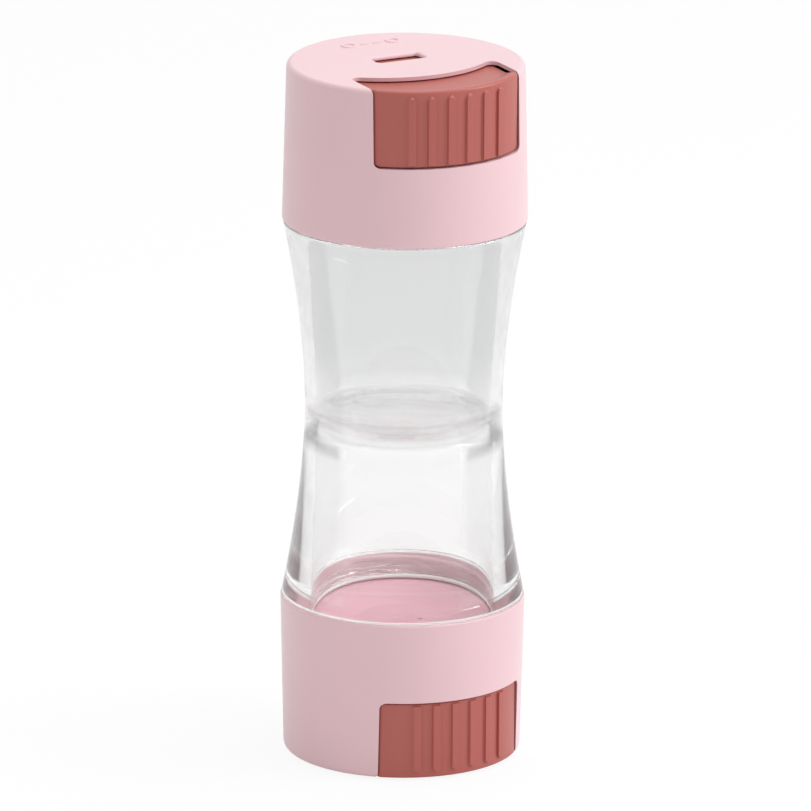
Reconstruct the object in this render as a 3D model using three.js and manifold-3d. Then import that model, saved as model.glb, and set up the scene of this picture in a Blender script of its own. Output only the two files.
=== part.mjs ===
// A double-ended seasoning bottle. Two clear cups are locked together at the waist, and each
// carries a screw cap with a press button that meters one dose through a slot in the cap's end.
//
// Both ends are described once, in a frame of their own: z = 0 is the middle of the bottle, +Z
// runs out of that end, and the button faces -Y. The upper end stands as described and the lower
// end is the same end turned over. Sizes are millimetres, and the bottle stands on z = 0.

import * as THREE from 'three';
import { mergeVertices } from 'three/addons/utils/BufferGeometryUtils.js';
import Module from 'manifold-3d';

const wasm = await Module();
wasm.setup();

// Overall sizes
const HEIGHT = 168;
const CAP_HEIGHT = 38;
const CAP_RIM_RADIUS = 29;
const CAP_TAPER = 0.85; // how much smaller the cap's end is than its rim, in radius
const WAIST_RADIUS = 23.4;
const LOWER_END_TURN = 4.4; // degrees that the lower end stands round from the upper one

// Clearances
const CLEARANCE = 0.3; // between pieces that seat on or slide in each other
const SLIDE_CLEARANCE = 0.35; // round the press button
const SMOOTH = 48; // flats round a full turn
const OVERLAP = 0.5; // how far joined bodies reach into each other
const CUT_THROUGH = 6; // how far a cutter runs past the face that it cuts

// Cap
const CAP_WALL = 1.95; // near the end
const CAP_RIM_WALL = 2.3; // round the neck
const CAP_PLATE = 0.9;
const CAP_EDGE_RADIUS = 1.4;
const CAP_RIM_CHAMFER = 0.25;

// Opening for the button, cut through the wall and the end plate
const NOTCH_HALF_WIDTH = 19.2;
const NOTCH_HEIGHT = 18.8;
const NOTCH_DEPTH = 14.05; // from the cap's end edge to the end plate's edge, at the middle
const NOTCH_EDGE_RADIUS = 28; // that edge is an arc of this radius
const NOTCH_EDGE_FILLET = 1.8; // where the arc meets the notch's sides
const NOTCH_CORNER_RADIUS = 1.5;

// Outlet slot in the end plate
const SLOT_LENGTH = 12.4;
const SLOT_WIDTH = 5;
const SLOT_BEHIND = 4.1; // slot's centre, behind the axis as seen from the button
const SLOT_CORNER_RADIUS = 0.7;
const SLOT_CHAMFER = 0.7;

// Press button and the metering slide moulded with it
const STROKE = 5.5;
const BUTTON_INSET = 0.15; // how far the face lies inside the cap's end edge
const BUTTON_WALL = 2.2;
const BUTTON_EDGE_RADIUS = 0.7;
const BUTTON_RISE = 4.8; // width of the band where the top rises to the rim
const BUTTON_BELOW_END = 0.1; // how far the button's rim lies under the cap's end
const PANEL_THICKNESS = 1.6;
const PANEL_LAP = 7.8; // how far the top panel reaches under the end plate
const RIB_COUNT = 6;
const RIB_PITCH = 9.85; // degrees
const RIB_WIDTH = 2.1;
const RIB_PROUD = 0.5;
const RIB_BELOW_END = 1.55;
const SLIDE_HALF_WIDTH = 7.2;
const SLIDE_BACK = 12; // how far the slide reaches behind the axis
const SLIDE_EAR = 2.4; // length of the ears that stop the slide at the rails' ends
const CHAMBER_WIDTH = 5;
const SLIDE_THICKNESS = 9.5;

// Springs
const SPRING_GAP = 4.4; // from the slide's side to a spring's axis
const SPRING_RADIUS = 2.1; // of the coil's centreline
const SPRING_WIRE = 0.3;
const SPRING_TURNS = 5;
const SPRING_STEM_RADIUS = 1.3;
const SPRING_STEM = 3;
const SPRING_PAD_RADIUS = 2.6;
const SPRING_PAD_DEPTH = 4; // from the inside of the button's face
const SPRING_ROOM = 15.8; // between the pad and the post
const SPRING_POST_DEPTH = 3;
const SPRING_BELOW_END = 6.9;

// Tray that the slide runs on
const TRAY_THICKNESS = 2.2;
const RAIL_WALL = 1.5;
const RAIL_HEIGHT = 8;
const RAIL_LEAD = 6; // how far the rails reach in front of the spring posts

// Neck, seal ring and inner lid
const NECK_HEIGHT = 5.25;
const SEAL_THICKNESS = 0.9;
const LID_THICKNESS = 1.7;
const DISH_INSET = 2.3; // the dish starts this far inside the cup's mouth
const DISH_SLOPE = 6.9;
const DISH_DEPTH = 3.1;
const SPOUT_WALL = 1.5;
const LID_POST_RADIUS = 1.8;
const POST_INSET = { side: 5.1, back: 6.35 }; // from the cap's wall to a post's axis
const POST_ANGLE = { side: -8, back: 49 }; // degrees, from the X axis

// Clear cups
const FLARE_POWER = 1.75;
const SHOULDER_INSET = 0.15; // the cup's shoulder lies this far inside the cap's rim
const SHOULDER_EDGE = 0.35;
const NECK_WALL = 3.7;
const WAIST_WALL = 3;
const CAVITY_FILLET = 1.5;
const SEAM_BELOW_MIDDLE = 0.8;
const SEAM_CHAMFER = 0.4;
const UPPER_FLOOR_LEVEL = -0.5; // top of the upper cup's floor
const LOWER_FLOOR_THICKNESS = 1.4;

// Twist lock at the waist: a plug with lugs under the upper cup, in a socket in the lower one
const PLUG_INSET = 2.2; // inside the cavity's floor radius
const PLUG_LENGTH = 2.4;
const LUG_COUNT = 3;
const LUG_ANGLE = 24; // degrees that each lug covers
const LUG_PROUD = 1.7;
const LUG_HEIGHT = 0.9;
const LUG_START = -122; // degrees, from +X to the middle of the first lug when locked
const LOCK_TURN = 30; // degrees between locked and free
const LIP_THICKNESS = 0.6;
const LUG_SLACK = 2; // degrees at each side of a lug in its way in

// Levels worked out from the sizes above
const END = HEIGHT / 2;
const CAP_RIM = END - CAP_HEIGHT + CLEARANCE / 2;
const SHOULDER = END - CAP_HEIGHT - CLEARANCE / 2;
const NECK_END = SHOULDER + NECK_HEIGHT + CLEARANCE;
const SEAL_LOW = NECK_END + CLEARANCE;
const LID_LOW = SEAL_LOW + SEAL_THICKNESS + CLEARANCE;
const LID_TOP = LID_LOW + LID_THICKNESS;
const LEDGE = LID_TOP + CLEARANCE;
const PLATE_LOW = END - CAP_PLATE;
const NOTCH_LOW = END - NOTCH_HEIGHT;
const SLIDE_TOP = PLATE_LOW - SLIDE_CLEARANCE;
const SLIDE_LOW = SLIDE_TOP - SLIDE_THICKNESS;
const TRAY_TOP = SLIDE_LOW - CLEARANCE;
const TRAY_LOW = TRAY_TOP - TRAY_THICKNESS;
const BUTTON_LOW = NOTCH_LOW + SLIDE_CLEARANCE;
const BUTTON_TOP = END - BUTTON_BELOW_END;
const BUTTON_HALF_WIDTH = NOTCH_HALF_WIDTH - SLIDE_CLEARANCE;
const SPRING_LEVEL = END - SPRING_BELOW_END;
const RAIL_BACK = SLIDE_BACK - SLIDE_EAR - CLEARANCE;
const CAP_END_RADIUS = CAP_RIM_RADIUS - CAP_TAPER;
const CAP_WALL_RADIUS = CAP_END_RADIUS - CAP_WALL;
const CAP_BORE_RADIUS = CAP_RIM_RADIUS - CAP_RIM_WALL;
const NECK_RADIUS = CAP_BORE_RADIUS - CLEARANCE;
const SHOULDER_RADIUS = CAP_RIM_RADIUS - SHOULDER_INSET;
const NOTCH_EDGE = CAP_END_RADIUS - NOTCH_DEPTH; // end plate's edge, from the axis, at the middle
const BUTTON_RADIUS = CAP_END_RADIUS - BUTTON_INSET;
const BUTTON_RISE_RADIUS = BUTTON_RADIUS - BUTTON_RISE;
const PANEL_BACK = NOTCH_EDGE - PANEL_LAP;
const SPRING_OFFSET = SLIDE_HALF_WIDTH + SPRING_GAP;
const SPRING_PAD_FACE = BUTTON_RADIUS - BUTTON_WALL - SPRING_PAD_DEPTH;
const SPRING_POST_FACE = SPRING_PAD_FACE - SPRING_ROOM;
const RAIL_FRONT = SPRING_POST_FACE + RAIL_LEAD;
const CAVITY_MOUTH_RADIUS = NECK_RADIUS - NECK_WALL;
const CAVITY_FLOOR_RADIUS = WAIST_RADIUS - WAIST_WALL;
const DISH_RIM_RADIUS = CAVITY_MOUTH_RADIUS - DISH_INSET;
const DISH_FLOOR_RADIUS = DISH_RIM_RADIUS - DISH_SLOPE;
const PLUG_RADIUS = CAVITY_FLOOR_RADIUS - PLUG_INSET;
const SLOT_Y = SLOT_BEHIND;
const CHAMBER_Y = SLOT_Y - STROKE; // the chamber waits one stroke short of the slot

// Turns a closed geometry into a solid that can be joined and cut.
function solid(geometry) {
  const bare = geometry.clone();
  bare.deleteAttribute('normal');
  bare.deleteAttribute('uv');
  const merged = mergeVertices(bare, 1e-5);
  const index = merged.index.array;
  const kept = [];
  for (let i = 0; i < index.length; i += 3) {
    const [a, b, c] = [index[i], index[i + 1], index[i + 2]];
    if (a !== b && b !== c && c !== a) kept.push(a, b, c);
  }
  return new wasm.Manifold(new wasm.Mesh({
    numProp: 3,
    vertProperties: new Float32Array(merged.attributes.position.array),
    triVerts: new Uint32Array(kept),
  }));
}

function geometryOf(body) {
  const mesh = body.getMesh();
  const geometry = new THREE.BufferGeometry();
  geometry.setAttribute('position', new THREE.BufferAttribute(mesh.vertProperties, 3));
  geometry.setIndex(new THREE.BufferAttribute(mesh.triVerts, 1));
  geometry.computeVertexNormals();
  return geometry;
}

const joined = (first, ...others) => others.reduce((body, other) => body.add(other), first);
const cut = (first, ...others) => others.reduce((body, other) => body.subtract(other), first);

// A box between two corners.
function box(x, y, z) {
  const geometry = new THREE.BoxGeometry(x[1] - x[0], y[1] - y[0], z[1] - z[0]);
  geometry.translate((x[0] + x[1]) / 2, (y[0] + y[1]) / 2, (z[0] + z[1]) / 2);
  return solid(geometry);
}

// A closed outline of [radius, level] points, anticlockwise, turned about the Z axis.
function turned(outline, flats = SMOOTH) {
  const points = outline.map(([radius, level]) => new THREE.Vector2(radius, level));
  points.push(points[0].clone());
  const geometry = new THREE.LatheGeometry(points, flats);
  geometry.rotateX(Math.PI / 2);
  geometry.scale(1, -1, 1);
  const index = geometry.index.array;
  for (let i = 0; i < index.length; i += 3) {
    [index[i + 1], index[i + 2]] = [index[i + 2], index[i + 1]];
  }
  return solid(geometry);
}

// An upright solid with this outline in plan, between two levels.
function upright(shape, low, high, curveSegments = 6) {
  const geometry = new THREE.ExtrudeGeometry(shape, { depth: high - low, bevelEnabled: false, curveSegments });
  geometry.translate(0, 0, low);
  return solid(geometry);
}

// Points of an arc in [radius, level] from one angle to another, in degrees.
function arc(radius, level, size, from, to, steps = 3) {
  return Array.from({ length: steps + 1 }, (_, i) => {
    const angle = THREE.MathUtils.degToRad(from + ((to - from) * i) / steps);
    return [radius + size * Math.cos(angle), level + size * Math.sin(angle)];
  });
}

function roundedRectangle(width, depth, radius) {
  const [w, d] = [width / 2, depth / 2];
  const shape = new THREE.Shape();
  shape.absarc(w - radius, d - radius, radius, 0, Math.PI / 2);
  shape.absarc(-w + radius, d - radius, radius, Math.PI / 2, Math.PI);
  shape.absarc(-w + radius, -d + radius, radius, Math.PI, 1.5 * Math.PI);
  shape.absarc(w - radius, -d + radius, radius, 1.5 * Math.PI, 2 * Math.PI);
  return shape;
}

// The shaft of salt: a chamber, feed hole or spout has this section over this stretch.
function doseShaft(y, low, high, wall = 0) {
  const half = SLOT_LENGTH / 2 + wall;
  const depth = CHAMBER_WIDTH / 2 + wall;
  return box([-half, half], [y - depth, y + depth], [low, high]);
}

function slotCutter() {
  const flare = new THREE.ExtrudeGeometry(
    roundedRectangle(SLOT_LENGTH, SLOT_WIDTH, SLOT_CORNER_RADIUS),
    { depth: CUT_THROUGH, bevelThickness: SLOT_CHAMFER, bevelSize: SLOT_CHAMFER, bevelSegments: 1, curveSegments: 2 },
  );
  flare.translate(0, SLOT_Y, END);
  const hole = new THREE.ExtrudeGeometry(
    roundedRectangle(SLOT_LENGTH, SLOT_WIDTH, SLOT_CORNER_RADIUS),
    { depth: 2 * CAP_PLATE, bevelEnabled: false, curveSegments: 2 },
  );
  hole.translate(0, SLOT_Y, PLATE_LOW - CAP_PLATE / 2);
  return joined(solid(flare), solid(hole));
}

// A panel seen from the front, with rounded lower corners, run back from one depth to another.
function frontPanel(halfWidth, low, cornerRadius, high, front, back) {
  const r = cornerRadius;
  const shape = new THREE.Shape();
  shape.moveTo(halfWidth, high);
  shape.lineTo(-halfWidth, high);
  shape.absarc(-halfWidth + r, low + r, r, Math.PI, 1.5 * Math.PI);
  shape.absarc(halfWidth - r, low + r, r, 1.5 * Math.PI, 2 * Math.PI);
  const geometry = new THREE.ExtrudeGeometry(shape, {
    depth: back - front, bevelEnabled: false, curveSegments: 4,
  });
  geometry.rotateX(Math.PI / 2);
  geometry.translate(0, back, 0);
  return solid(geometry);
}

// The open side of the end plate's arched edge in plan, moved towards the button.
function plateGapPlan(forward) {
  const side = NOTCH_HALF_WIDTH;
  const front = -CAP_RIM_RADIUS - CUT_THROUGH;
  const round = NOTCH_EDGE_FILLET;
  const centreY = NOTCH_EDGE_RADIUS - NOTCH_EDGE - forward;
  const filletX = side - round;
  const reach = Math.asin(filletX / (NOTCH_EDGE_RADIUS + round));
  const filletY = centreY - (NOTCH_EDGE_RADIUS + round) * Math.cos(reach);
  const plan = new THREE.Shape();
  plan.moveTo(-side, front);
  plan.lineTo(side, front);
  plan.absarc(filletX, filletY, round, 0, Math.PI / 2 + reach, false);
  plan.absarc(0, centreY, NOTCH_EDGE_RADIUS, -Math.PI / 2 + reach, -Math.PI / 2 - reach, true);
  plan.absarc(-filletX, filletY, round, Math.PI / 2 - reach, Math.PI, false);
  return plan;
}

// The notch takes the wall out for the button's face and the end plate up to an arched edge.
function notchCutter() {
  const front = -CAP_RIM_RADIUS - CUT_THROUGH;
  const throughPlate = upright(plateGapPlan(0), PLATE_LOW - OVERLAP, END + CUT_THROUGH, 8);
  const throughWall = frontPanel(
    NOTCH_HALF_WIDTH, NOTCH_LOW, NOTCH_CORNER_RADIUS, PLATE_LOW, front, -NOTCH_EDGE,
  );
  return joined(throughPlate, throughWall);
}

// Where a post of the inner lid stands; the cap's stops stand over the back ones.
function postPlace(which) {
  const angle = THREE.MathUtils.degToRad(POST_ANGLE[which]);
  const reach = CAP_WALL_RADIUS - POST_INSET[which];
  return { x: reach * Math.cos(angle), y: reach * Math.sin(angle) };
}

function cap() {
  const round = CAP_EDGE_RADIUS;
  const shell = turned([
    [CAP_BORE_RADIUS, CAP_RIM],
    [CAP_RIM_RADIUS - CAP_RIM_CHAMFER, CAP_RIM],
    [CAP_RIM_RADIUS, CAP_RIM + CAP_RIM_CHAMFER],
    ...arc(CAP_END_RADIUS - round, END - round, round, 0, 90),
    [0, END],
    [0, PLATE_LOW],
    [CAP_WALL_RADIUS, PLATE_LOW],
    [CAP_WALL_RADIUS, LEDGE],
    [CAP_BORE_RADIUS, LEDGE],
  ]);
  const stop = 1.5 * LID_POST_RADIUS;
  const place = postPlace('back');
  const stops = [-1, 1].map((side) => box(
    [side * place.x - stop, side * place.x + stop],
    [place.y - stop, place.y + stop],
    [TRAY_TOP + CLEARANCE, PLATE_LOW + OVERLAP],
  ));
  return joined(cut(shell, notchCutter(), slotCutter()), ...stops);
}

// One rib on the button's face, with a round end towards the cap's end.
function rib(number) {
  const half = RIB_WIDTH / 2;
  const top = END - RIB_BELOW_END - half;
  const shape = new THREE.Shape();
  shape.moveTo(-half, BUTTON_LOW);
  shape.lineTo(half, BUTTON_LOW);
  shape.absarc(0, top, half, 0, Math.PI);
  const depth = RIB_PROUD + BUTTON_WALL / 2;
  const geometry = new THREE.ExtrudeGeometry(shape, { depth, bevelEnabled: false, curveSegments: 6 });
  geometry.rotateX(Math.PI / 2);
  geometry.translate(0, -BUTTON_RADIUS - RIB_PROUD + depth, 0);
  geometry.rotateZ(THREE.MathUtils.degToRad((number - (RIB_COUNT - 1) / 2) * RIB_PITCH));
  return solid(geometry);
}

// A short round stem along Y, that a spring's end fits over.
function stem(x, from, to, radius) {
  const geometry = new THREE.CylinderGeometry(radius, radius, to - from, 10);
  geometry.translate(x, (from + to) / 2, SPRING_LEVEL);
  return solid(geometry);
}

function button() {
  const round = BUTTON_EDGE_RADIUS;
  const inner = BUTTON_RADIUS - BUTTON_WALL;
  const faceAndTop = turned([
    [BUTTON_RADIUS, BUTTON_LOW],
    ...arc(BUTTON_RADIUS - round, BUTTON_TOP - round, round, 0, 90),
    [BUTTON_RISE_RADIUS, SLIDE_TOP],
    [0, SLIDE_TOP],
    [0, SLIDE_TOP - PANEL_THICKNESS],
    [inner, SLIDE_TOP - PANEL_THICKNESS],
    [inner, BUTTON_LOW],
  ]);
  const front = frontPanel(
    BUTTON_HALF_WIDTH, BUTTON_LOW, NOTCH_CORNER_RADIUS - SLIDE_CLEARANCE, END + 1, -CAP_RIM_RADIUS, -PANEL_BACK,
  );
  const slide = box(
    [-SLIDE_HALF_WIDTH, SLIDE_HALF_WIDTH],
    [-inner + BUTTON_WALL, SLIDE_BACK],
    [SLIDE_LOW, SLIDE_TOP],
  );
  const earReach = SLIDE_HALF_WIDTH + CLEARANCE + RAIL_WALL;
  const ears = box(
    [-earReach, earReach],
    [SLIDE_BACK - SLIDE_EAR, SLIDE_BACK],
    [SLIDE_LOW, SLIDE_LOW + RAIL_HEIGHT],
  );
  const neck = box(
    [-SLIDE_HALF_WIDTH, SLIDE_HALF_WIDTH],
    [-inner, -inner + BUTTON_WALL + OVERLAP],
    [SLIDE_LOW, SLIDE_TOP - PANEL_THICKNESS / 2],
  );
  const levels = [SLIDE_LOW, SLIDE_TOP];
  const behindFace = upright(new THREE.Shape().absarc(0, 0, inner + BUTTON_WALL / 2, 0, 2 * Math.PI), ...levels, 24);
  const pads = [-SPRING_OFFSET, SPRING_OFFSET].flatMap((x) => [
    stem(x, -BUTTON_RADIUS, -SPRING_PAD_FACE, SPRING_PAD_RADIUS).intersect(behindFace),
    stem(x, -SPRING_PAD_FACE - OVERLAP, -SPRING_PAD_FACE + SPRING_STEM, SPRING_STEM_RADIUS),
  ]);
  const ribs = Array.from({ length: RIB_COUNT }, (_, i) => rib(i));
  const body = joined(faceAndTop.intersect(front), slide, ears, neck, ...pads, ...ribs);
  // What goes under the end plate at the end of the stroke stays level with the slide.
  const open = upright(plateGapPlan(STROKE + CLEARANCE), SLIDE_TOP - 1, END + 2, 8);
  const reach = 2 * CAP_RIM_RADIUS;
  const underPlate = box([-reach, reach], [-reach, reach], [SLIDE_TOP, END + 1]).subtract(open);
  return cut(body, underPlate, doseShaft(CHAMBER_Y, SLIDE_LOW - 1, SLIDE_TOP + 1));
}

class Coil extends THREE.Curve {
  constructor(x, from, to) {
    super();
    this.x = x;
    this.from = from;
    this.to = to;
  }

  getPoint(t, target = new THREE.Vector3()) {
    const angle = 2 * Math.PI * SPRING_TURNS * t;
    return target.set(
      this.x + SPRING_RADIUS * Math.cos(angle),
      THREE.MathUtils.lerp(this.from, this.to, t),
      SPRING_LEVEL + SPRING_RADIUS * Math.sin(angle),
    );
  }
}

function spring(side) {
  const room = CLEARANCE + SPRING_WIRE;
  const path = new Coil(side * SPRING_OFFSET, -SPRING_PAD_FACE + room, -SPRING_POST_FACE - room);
  const wire = new THREE.Shape();
  wire.absarc(0, 0, SPRING_WIRE, 0, 2 * Math.PI);
  return solid(new THREE.ExtrudeGeometry(wire, {
    extrudePath: path, steps: SPRING_TURNS * 10, curveSegments: 5, bevelEnabled: false,
  }));
}

// The tray closes the slide in from below and takes the springs' thrust.
function tray() {
  const radius = CAP_WALL_RADIUS - CLEARANCE;
  const disc = turned([[0, TRAY_LOW], [radius, TRAY_LOW], [radius, TRAY_TOP], [0, TRAY_TOP]]);
  const railIn = SLIDE_HALF_WIDTH + CLEARANCE;
  const railOut = railIn + RAIL_WALL;
  const railTop = TRAY_TOP + RAIL_HEIGHT;
  const grip = SPRING_PAD_RADIUS + CLEARANCE;
  const parts = [-1, 1].flatMap((side) => {
    const x = side * SPRING_OFFSET;
    return [
      box([Math.min(side * railIn, side * railOut), Math.max(side * railIn, side * railOut)],
        [-RAIL_FRONT, RAIL_BACK], [TRAY_TOP - OVERLAP, railTop]),
      box([x - grip, x + grip], [-SPRING_POST_FACE, -SPRING_POST_FACE + SPRING_POST_DEPTH],
        [TRAY_TOP - OVERLAP, SPRING_LEVEL + SPRING_PAD_RADIUS]),
      stem(x, -SPRING_POST_FACE - SPRING_STEM, -SPRING_POST_FACE + OVERLAP, SPRING_STEM_RADIUS),
    ];
  });
  // The front edge leaves room for the button's face at the end of its stroke.
  const faceReach = BUTTON_RADIUS - BUTTON_WALL - CLEARANCE;
  const levels = [TRAY_LOW - 1, TRAY_TOP + 1];
  const kept = turned([[0, levels[0]], [faceReach, levels[0]], [faceReach, levels[1]], [0, levels[1]]]);
  const notchWidth = [-NOTCH_HALF_WIDTH, NOTCH_HALF_WIDTH];
  const frontCut = box(notchWidth, [-2 * radius, 0], levels).subtract(kept.translate([0, STROKE, 0]));
  const channel = box([-railIn, railIn], [-2 * radius, 2 * radius], [TRAY_TOP, railTop + CLEARANCE]);
  return cut(joined(disc, ...parts), frontCut, channel, doseShaft(CHAMBER_Y, TRAY_LOW - 1, TRAY_TOP + 1));
}

// The inner lid faces the seasoning: a dish that leads it to a spout under the tray.
function innerLid() {
  const skin = LID_THICKNESS;
  const dish = turned([
    [0, LID_LOW + DISH_DEPTH],
    [DISH_FLOOR_RADIUS, LID_LOW + DISH_DEPTH],
    [DISH_RIM_RADIUS, LID_LOW],
    [CAP_BORE_RADIUS - CLEARANCE, LID_LOW],
    [CAP_BORE_RADIUS - CLEARANCE, LID_TOP],
    [DISH_RIM_RADIUS + skin / 2, LID_TOP],
    [DISH_FLOOR_RADIUS + skin / 2, LID_TOP + DISH_DEPTH],
    [0, LID_TOP + DISH_DEPTH],
  ]);
  const top = TRAY_LOW - CLEARANCE;
  const spout = doseShaft(CHAMBER_Y, LID_LOW + DISH_DEPTH + skin / 2, top, SPOUT_WALL);
  const posts = [postPlace('side'), postPlace('back')].flatMap(({ x, y }) => [-1, 1].map((side) => {
    const geometry = new THREE.CylinderGeometry(LID_POST_RADIUS, LID_POST_RADIUS, top - LID_TOP + OVERLAP, 10);
    geometry.rotateX(Math.PI / 2);
    geometry.translate(side * x, y, (top + LID_TOP - OVERLAP) / 2);
    return solid(geometry);
  }));
  return cut(joined(dish, spout, ...posts), doseShaft(CHAMBER_Y, LID_LOW - 1, top + 1));
}

function sealRing() {
  return turned([
    [CAVITY_MOUTH_RADIUS + CLEARANCE, SEAL_LOW],
    [CAP_BORE_RADIUS - 2 * CLEARANCE, SEAL_LOW],
    [CAP_BORE_RADIUS - 2 * CLEARANCE, SEAL_LOW + SEAL_THICKNESS],
    [CAVITY_MOUTH_RADIUS + CLEARANCE, SEAL_LOW + SEAL_THICKNESS],
  ]);
}

// Radius of a cup's flared outside at a distance from the middle of the bottle.
function flareRadius(level) {
  const share = Math.abs(level) / SHOULDER;
  return WAIST_RADIUS + (SHOULDER_RADIUS - WAIST_RADIUS) * share ** FLARE_POWER;
}

// A cup's outline from the seam at its foot out along the flare, over the neck and down inside.
function cupOutline(foot, floor) {
  const outside = Array.from({ length: 9 }, (_, i) => {
    const level = THREE.MathUtils.lerp(foot + SEAM_CHAMFER, SHOULDER - SHOULDER_EDGE, i / 8);
    return [flareRadius(level), level];
  });
  const slope = (CAVITY_MOUTH_RADIUS - CAVITY_FLOOR_RADIUS) / (NECK_END - floor);
  const round = CAVITY_FILLET;
  return [
    [0, foot],
    [WAIST_RADIUS - SEAM_CHAMFER, foot],
    ...outside,
    [SHOULDER_RADIUS - SHOULDER_EDGE, SHOULDER],
    [NECK_RADIUS, SHOULDER],
    [NECK_RADIUS, NECK_END],
    [CAVITY_MOUTH_RADIUS, NECK_END],
    ...arc(CAVITY_FLOOR_RADIUS + slope * round - round, floor + round, round, 0, -90),
    [0, floor],
  ];
}

// A wedge of a ring between two radii and two levels, centred on an angle in degrees.
function ringWedge(inner, outer, low, high, angle, width) {
  const [from, to] = [angle - width / 2, angle + width / 2].map(THREE.MathUtils.degToRad);
  const shape = new THREE.Shape();
  shape.absarc(0, 0, outer, from, to, false);
  shape.absarc(0, 0, inner, to, from, true);
  return upright(shape, low, high, 5);
}

const lugAngles = Array.from({ length: LUG_COUNT }, (_, i) => LUG_START + (i * 360) / LUG_COUNT);

function upperCup() {
  const foot = CLEARANCE / 2 - SEAM_BELOW_MIDDLE;
  const plugLow = foot - PLUG_LENGTH;
  const plug = turned([[0, plugLow], [PLUG_RADIUS, plugLow], [PLUG_RADIUS, foot + OVERLAP], [0, foot + OVERLAP]]);
  const lugLow = plugLow + CLEARANCE;
  const lugs = lugAngles.map((angle) => ringWedge(
    PLUG_RADIUS - 1, PLUG_RADIUS + LUG_PROUD, lugLow, lugLow + LUG_HEIGHT, angle, LUG_ANGLE,
  ));
  const shell = turned(cupOutline(foot, UPPER_FLOOR_LEVEL));
  const floorCut = turned([
    [0, UPPER_FLOOR_LEVEL], [PLUG_RADIUS, UPPER_FLOOR_LEVEL], [PLUG_RADIUS, SHOULDER], [0, SHOULDER],
  ]);
  return cut(joined(shell, plug, ...lugs), floorCut);
}

// Described in the lower end's own frame, where the seam lies above the middle.
function lowerCup() {
  const foot = CLEARANCE / 2 + SEAM_BELOW_MIDDLE;
  const socketEnd = foot + PLUG_LENGTH;
  const bore = PLUG_RADIUS + CLEARANCE;
  const wide = PLUG_RADIUS + LUG_PROUD + CLEARANCE;
  const lip = foot + LIP_THICKNESS;
  const socket = turned([[0, foot - 1], [bore, foot - 1], [bore, lip], [wide, lip], [wide, socketEnd], [0, socketEnd]]);
  // The lower end is turned over about Y, so an angle seen from above is mirrored here.
  const waysIn = lugAngles.map((angle) => ringWedge(
    bore - 1, wide, foot - 1, lip + OVERLAP,
    180 - (angle + LOCK_TURN - LOWER_END_TURN), LUG_ANGLE + 2 * LUG_SLACK,
  ));
  const floor = socketEnd + LOWER_FLOOR_THICKNESS;
  return cut(turned(cupOutline(foot, floor)), joined(socket, ...waysIn));
}

const pinkPlastic = () => new THREE.MeshStandardMaterial({ color: 0xe9c7cd, roughness: 0.45, metalness: 0 });
const rosePlastic = () => new THREE.MeshStandardMaterial({ color: 0xb5655e, roughness: 0.4, metalness: 0 });
const clearPlastic = () => new THREE.MeshStandardMaterial({
  color: 0xf4f6f6, roughness: 0.05, metalness: 0, transparent: true, opacity: 0.3,
});
const silicone = () => new THREE.MeshStandardMaterial({ color: 0xf2f0ee, roughness: 0.6, metalness: 0 });
const steel = () => new THREE.MeshStandardMaterial({ color: 0xc4c6c8, roughness: 0.3, metalness: 1 });

function piece(name, body, material) {
  const mesh = new THREE.Mesh(geometryOf(body), material);
  mesh.name = name;
  return mesh;
}

// One end of the bottle, as a group of pieces with its side in their names.
function bottleEnd(side, cupBody) {
  const group = new THREE.Group();
  group.add(
    piece(`${side}_cup`, cupBody, clearPlastic()),
    piece(`${side}_cap`, cap(), pinkPlastic()),
    piece(`${side}_button`, button(), rosePlastic()),
    piece(`${side}_slide_tray`, tray(), pinkPlastic()),
    piece(`${side}_inner_lid`, innerLid(), pinkPlastic()),
    piece(`${side}_seal_ring`, sealRing(), silicone()),
    piece(`${side}_spring_left`, spring(-1), steel()),
    piece(`${side}_spring_right`, spring(1), steel()),
  );
  return group;
}

const upperEnd = bottleEnd('upper', upperCup());
const lowerEnd = bottleEnd('lower', lowerCup());
lowerEnd.rotation.y = Math.PI;

const lowerTurned = new THREE.Group();
lowerTurned.rotation.z = THREE.MathUtils.degToRad(LOWER_END_TURN);
lowerTurned.add(lowerEnd);

const bottle = new THREE.Group();
bottle.add(upperEnd, lowerTurned);
bottle.position.z = HEIGHT / 2;
bottle.updateMatrixWorld(true);

export default bottle;
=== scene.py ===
"""A double-ended seasoning bottle: two clear cups joined at the waist, each with a screw cap and a
press button. Lengths are millimetres in an end's own frame, where z = 0 is the middle of the
bottle, +Z runs out of that end and the button faces -Y. They become metres when a piece is placed.
"""

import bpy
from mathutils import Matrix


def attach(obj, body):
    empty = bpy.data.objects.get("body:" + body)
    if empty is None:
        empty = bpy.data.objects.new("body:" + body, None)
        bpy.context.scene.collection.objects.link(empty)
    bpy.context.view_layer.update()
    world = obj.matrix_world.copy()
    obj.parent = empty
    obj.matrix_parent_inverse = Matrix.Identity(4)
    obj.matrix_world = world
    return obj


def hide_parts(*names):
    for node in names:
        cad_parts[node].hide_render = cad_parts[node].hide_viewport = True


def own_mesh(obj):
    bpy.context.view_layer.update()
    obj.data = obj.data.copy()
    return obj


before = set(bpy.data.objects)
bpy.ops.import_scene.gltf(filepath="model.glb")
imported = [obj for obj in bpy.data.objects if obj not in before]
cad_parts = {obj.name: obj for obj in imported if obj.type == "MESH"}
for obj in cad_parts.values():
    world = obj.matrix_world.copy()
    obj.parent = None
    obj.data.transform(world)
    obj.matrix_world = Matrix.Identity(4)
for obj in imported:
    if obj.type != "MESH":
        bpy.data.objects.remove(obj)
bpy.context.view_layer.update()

import math

import bmesh
import bpy
from mathutils import Matrix, Vector

MM = 0.001

# Overall sizes
HEIGHT = 168
CAP_RIM_RADIUS = 29
CAP_END_RADIUS = 28.15
WAIST_RADIUS = 23.4
LOWER_END_TURN = 4.4  # degrees

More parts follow.
